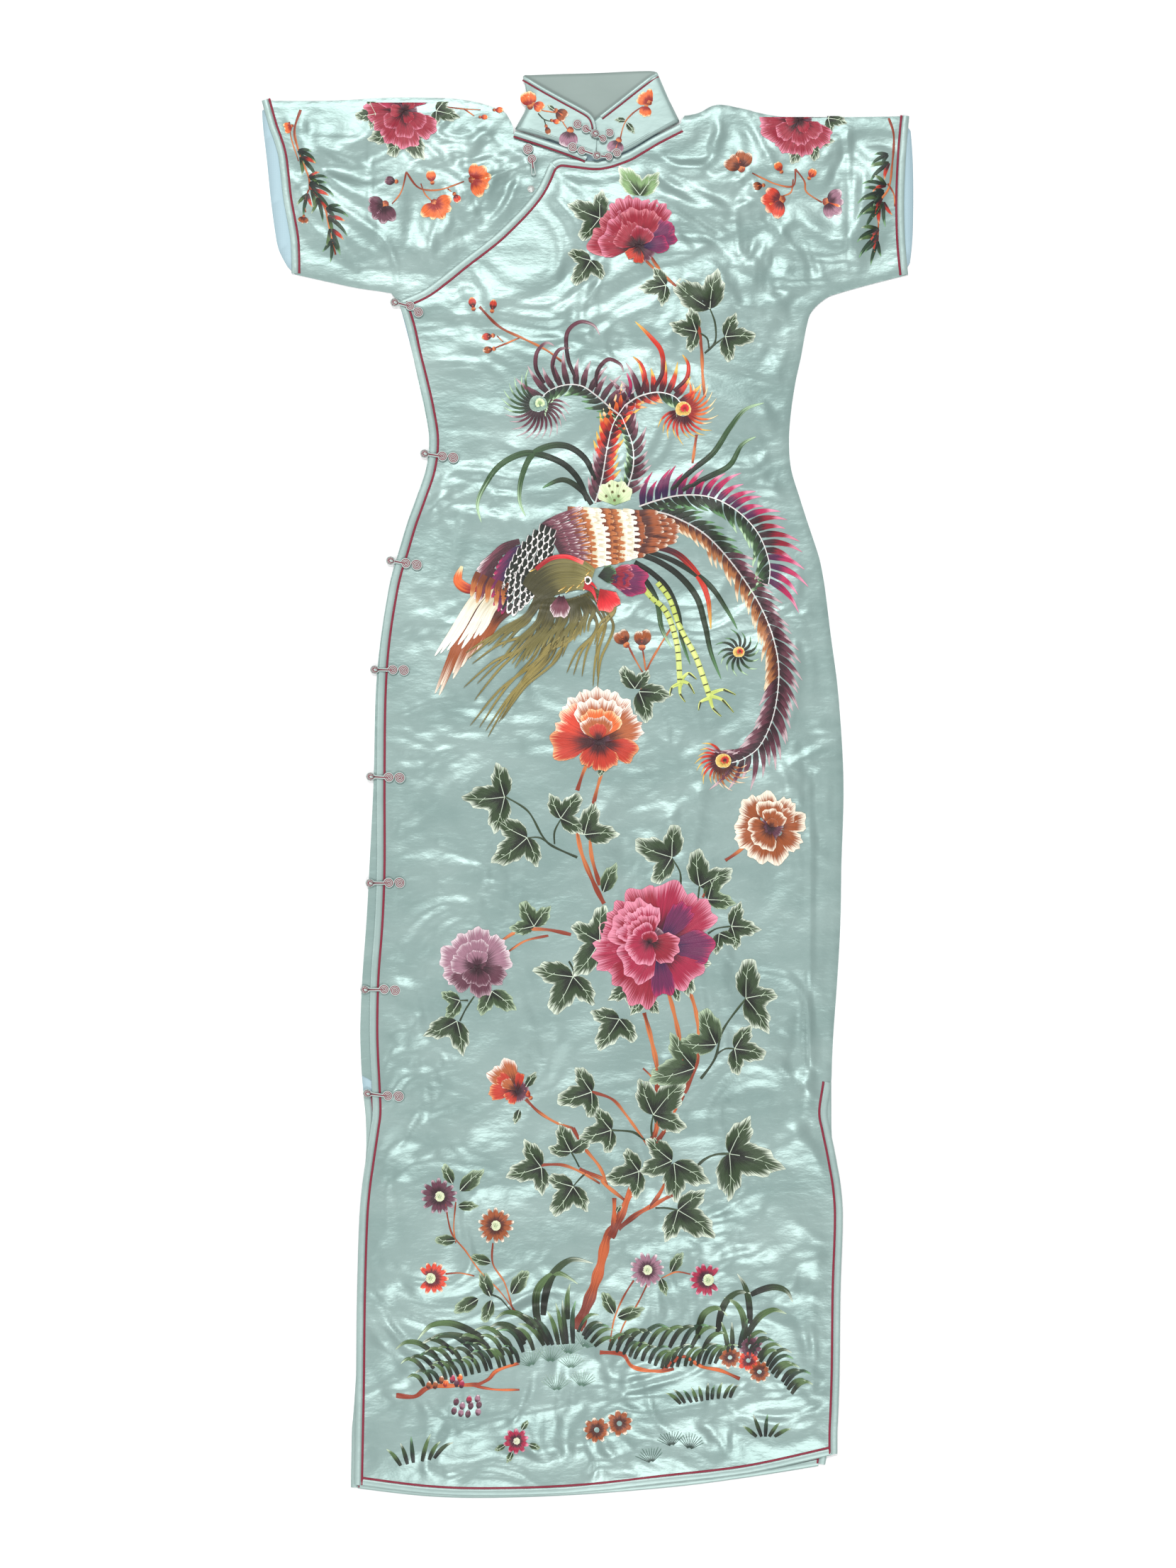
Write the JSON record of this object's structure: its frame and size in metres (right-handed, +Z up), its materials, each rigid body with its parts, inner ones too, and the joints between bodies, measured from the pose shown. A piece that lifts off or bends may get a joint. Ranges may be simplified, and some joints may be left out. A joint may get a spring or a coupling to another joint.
{
  "type": "cheongsam dress",
  "caption": "Long pale satin cheongsam laid flat, with cap sleeves cut in one, stand collar, diagonal and side opening closed by knotted frogs, side slits and bound edges.",
  "frame": {"origin": "on the surface the dress lies on, under the middle of its bounding box", "axes": "+Y towards the collar, +X towards the wearer's left sleeve, +Z up, out of the front"},
  "size_m": [0.634, 1.388, 0.0151],
  "materials": {
    "satin": "pale blue-grey silk satin, lustrous, embroidered with flowers and a phoenix",
    "binding": "self-coloured silk binding",
    "piping": "burgundy silk piping",
    "cord": "self-coloured rolled satin cord with a burgundy centre line",
    "stud": "small metal press stud"
  },
  "bodies": {
    "root": {"front_panel": "satin", "right_shoulder_panel": "satin", "back_panel": "satin", "side_extension": "satin", "collar": "satin", "opening_binding": "binding", "side_binding": "binding", "hem_binding": "binding", "slit_binding": "binding", "neck_binding": "binding", "left_cuff_binding": "binding", "right_cuff_binding": "binding", "back_hem_binding": "binding", "back_slit_binding": "binding", "collar_over_binding": "binding", "collar_under_binding": "binding", "collar_foot_binding": "binding", "opening_piping": "piping", "side_piping": "piping", "hem_piping": "piping", "slit_piping": "piping", "neck_piping": "piping", "left_cuff_piping": "piping", "right_cuff_piping": "piping", "collar_over_piping": "piping", "collar_under_piping": "piping", "collar_foot_piping": "piping", "frog_armhole": "cord", "frog_bust": "cord", "frog_waist": "cord", "frog_hip": "cord", "frog_thigh_upper": "cord", "frog_thigh_lower": "cord", "frog_knee_upper": "cord", "frog_knee_lower": "cord", "frog_collar_upper": "cord", "frog_collar_lower": "cord", "frog_collar_upper_end": "cord", "frog_collar_lower_end": "cord", "frog_neck": "cord", "knot_armhole": "cord", "knot_bust": "cord", "knot_waist": "cord", "knot_hip": "cord", "knot_thigh_upper": "cord", "knot_thigh_lower": "cord", "knot_knee_upper": "cord", "knot_knee_lower": "cord", "knot_collar_upper": "cord", "knot_collar_lower": "cord", "press_stud": "stud"}
  },
  "joints": []
}
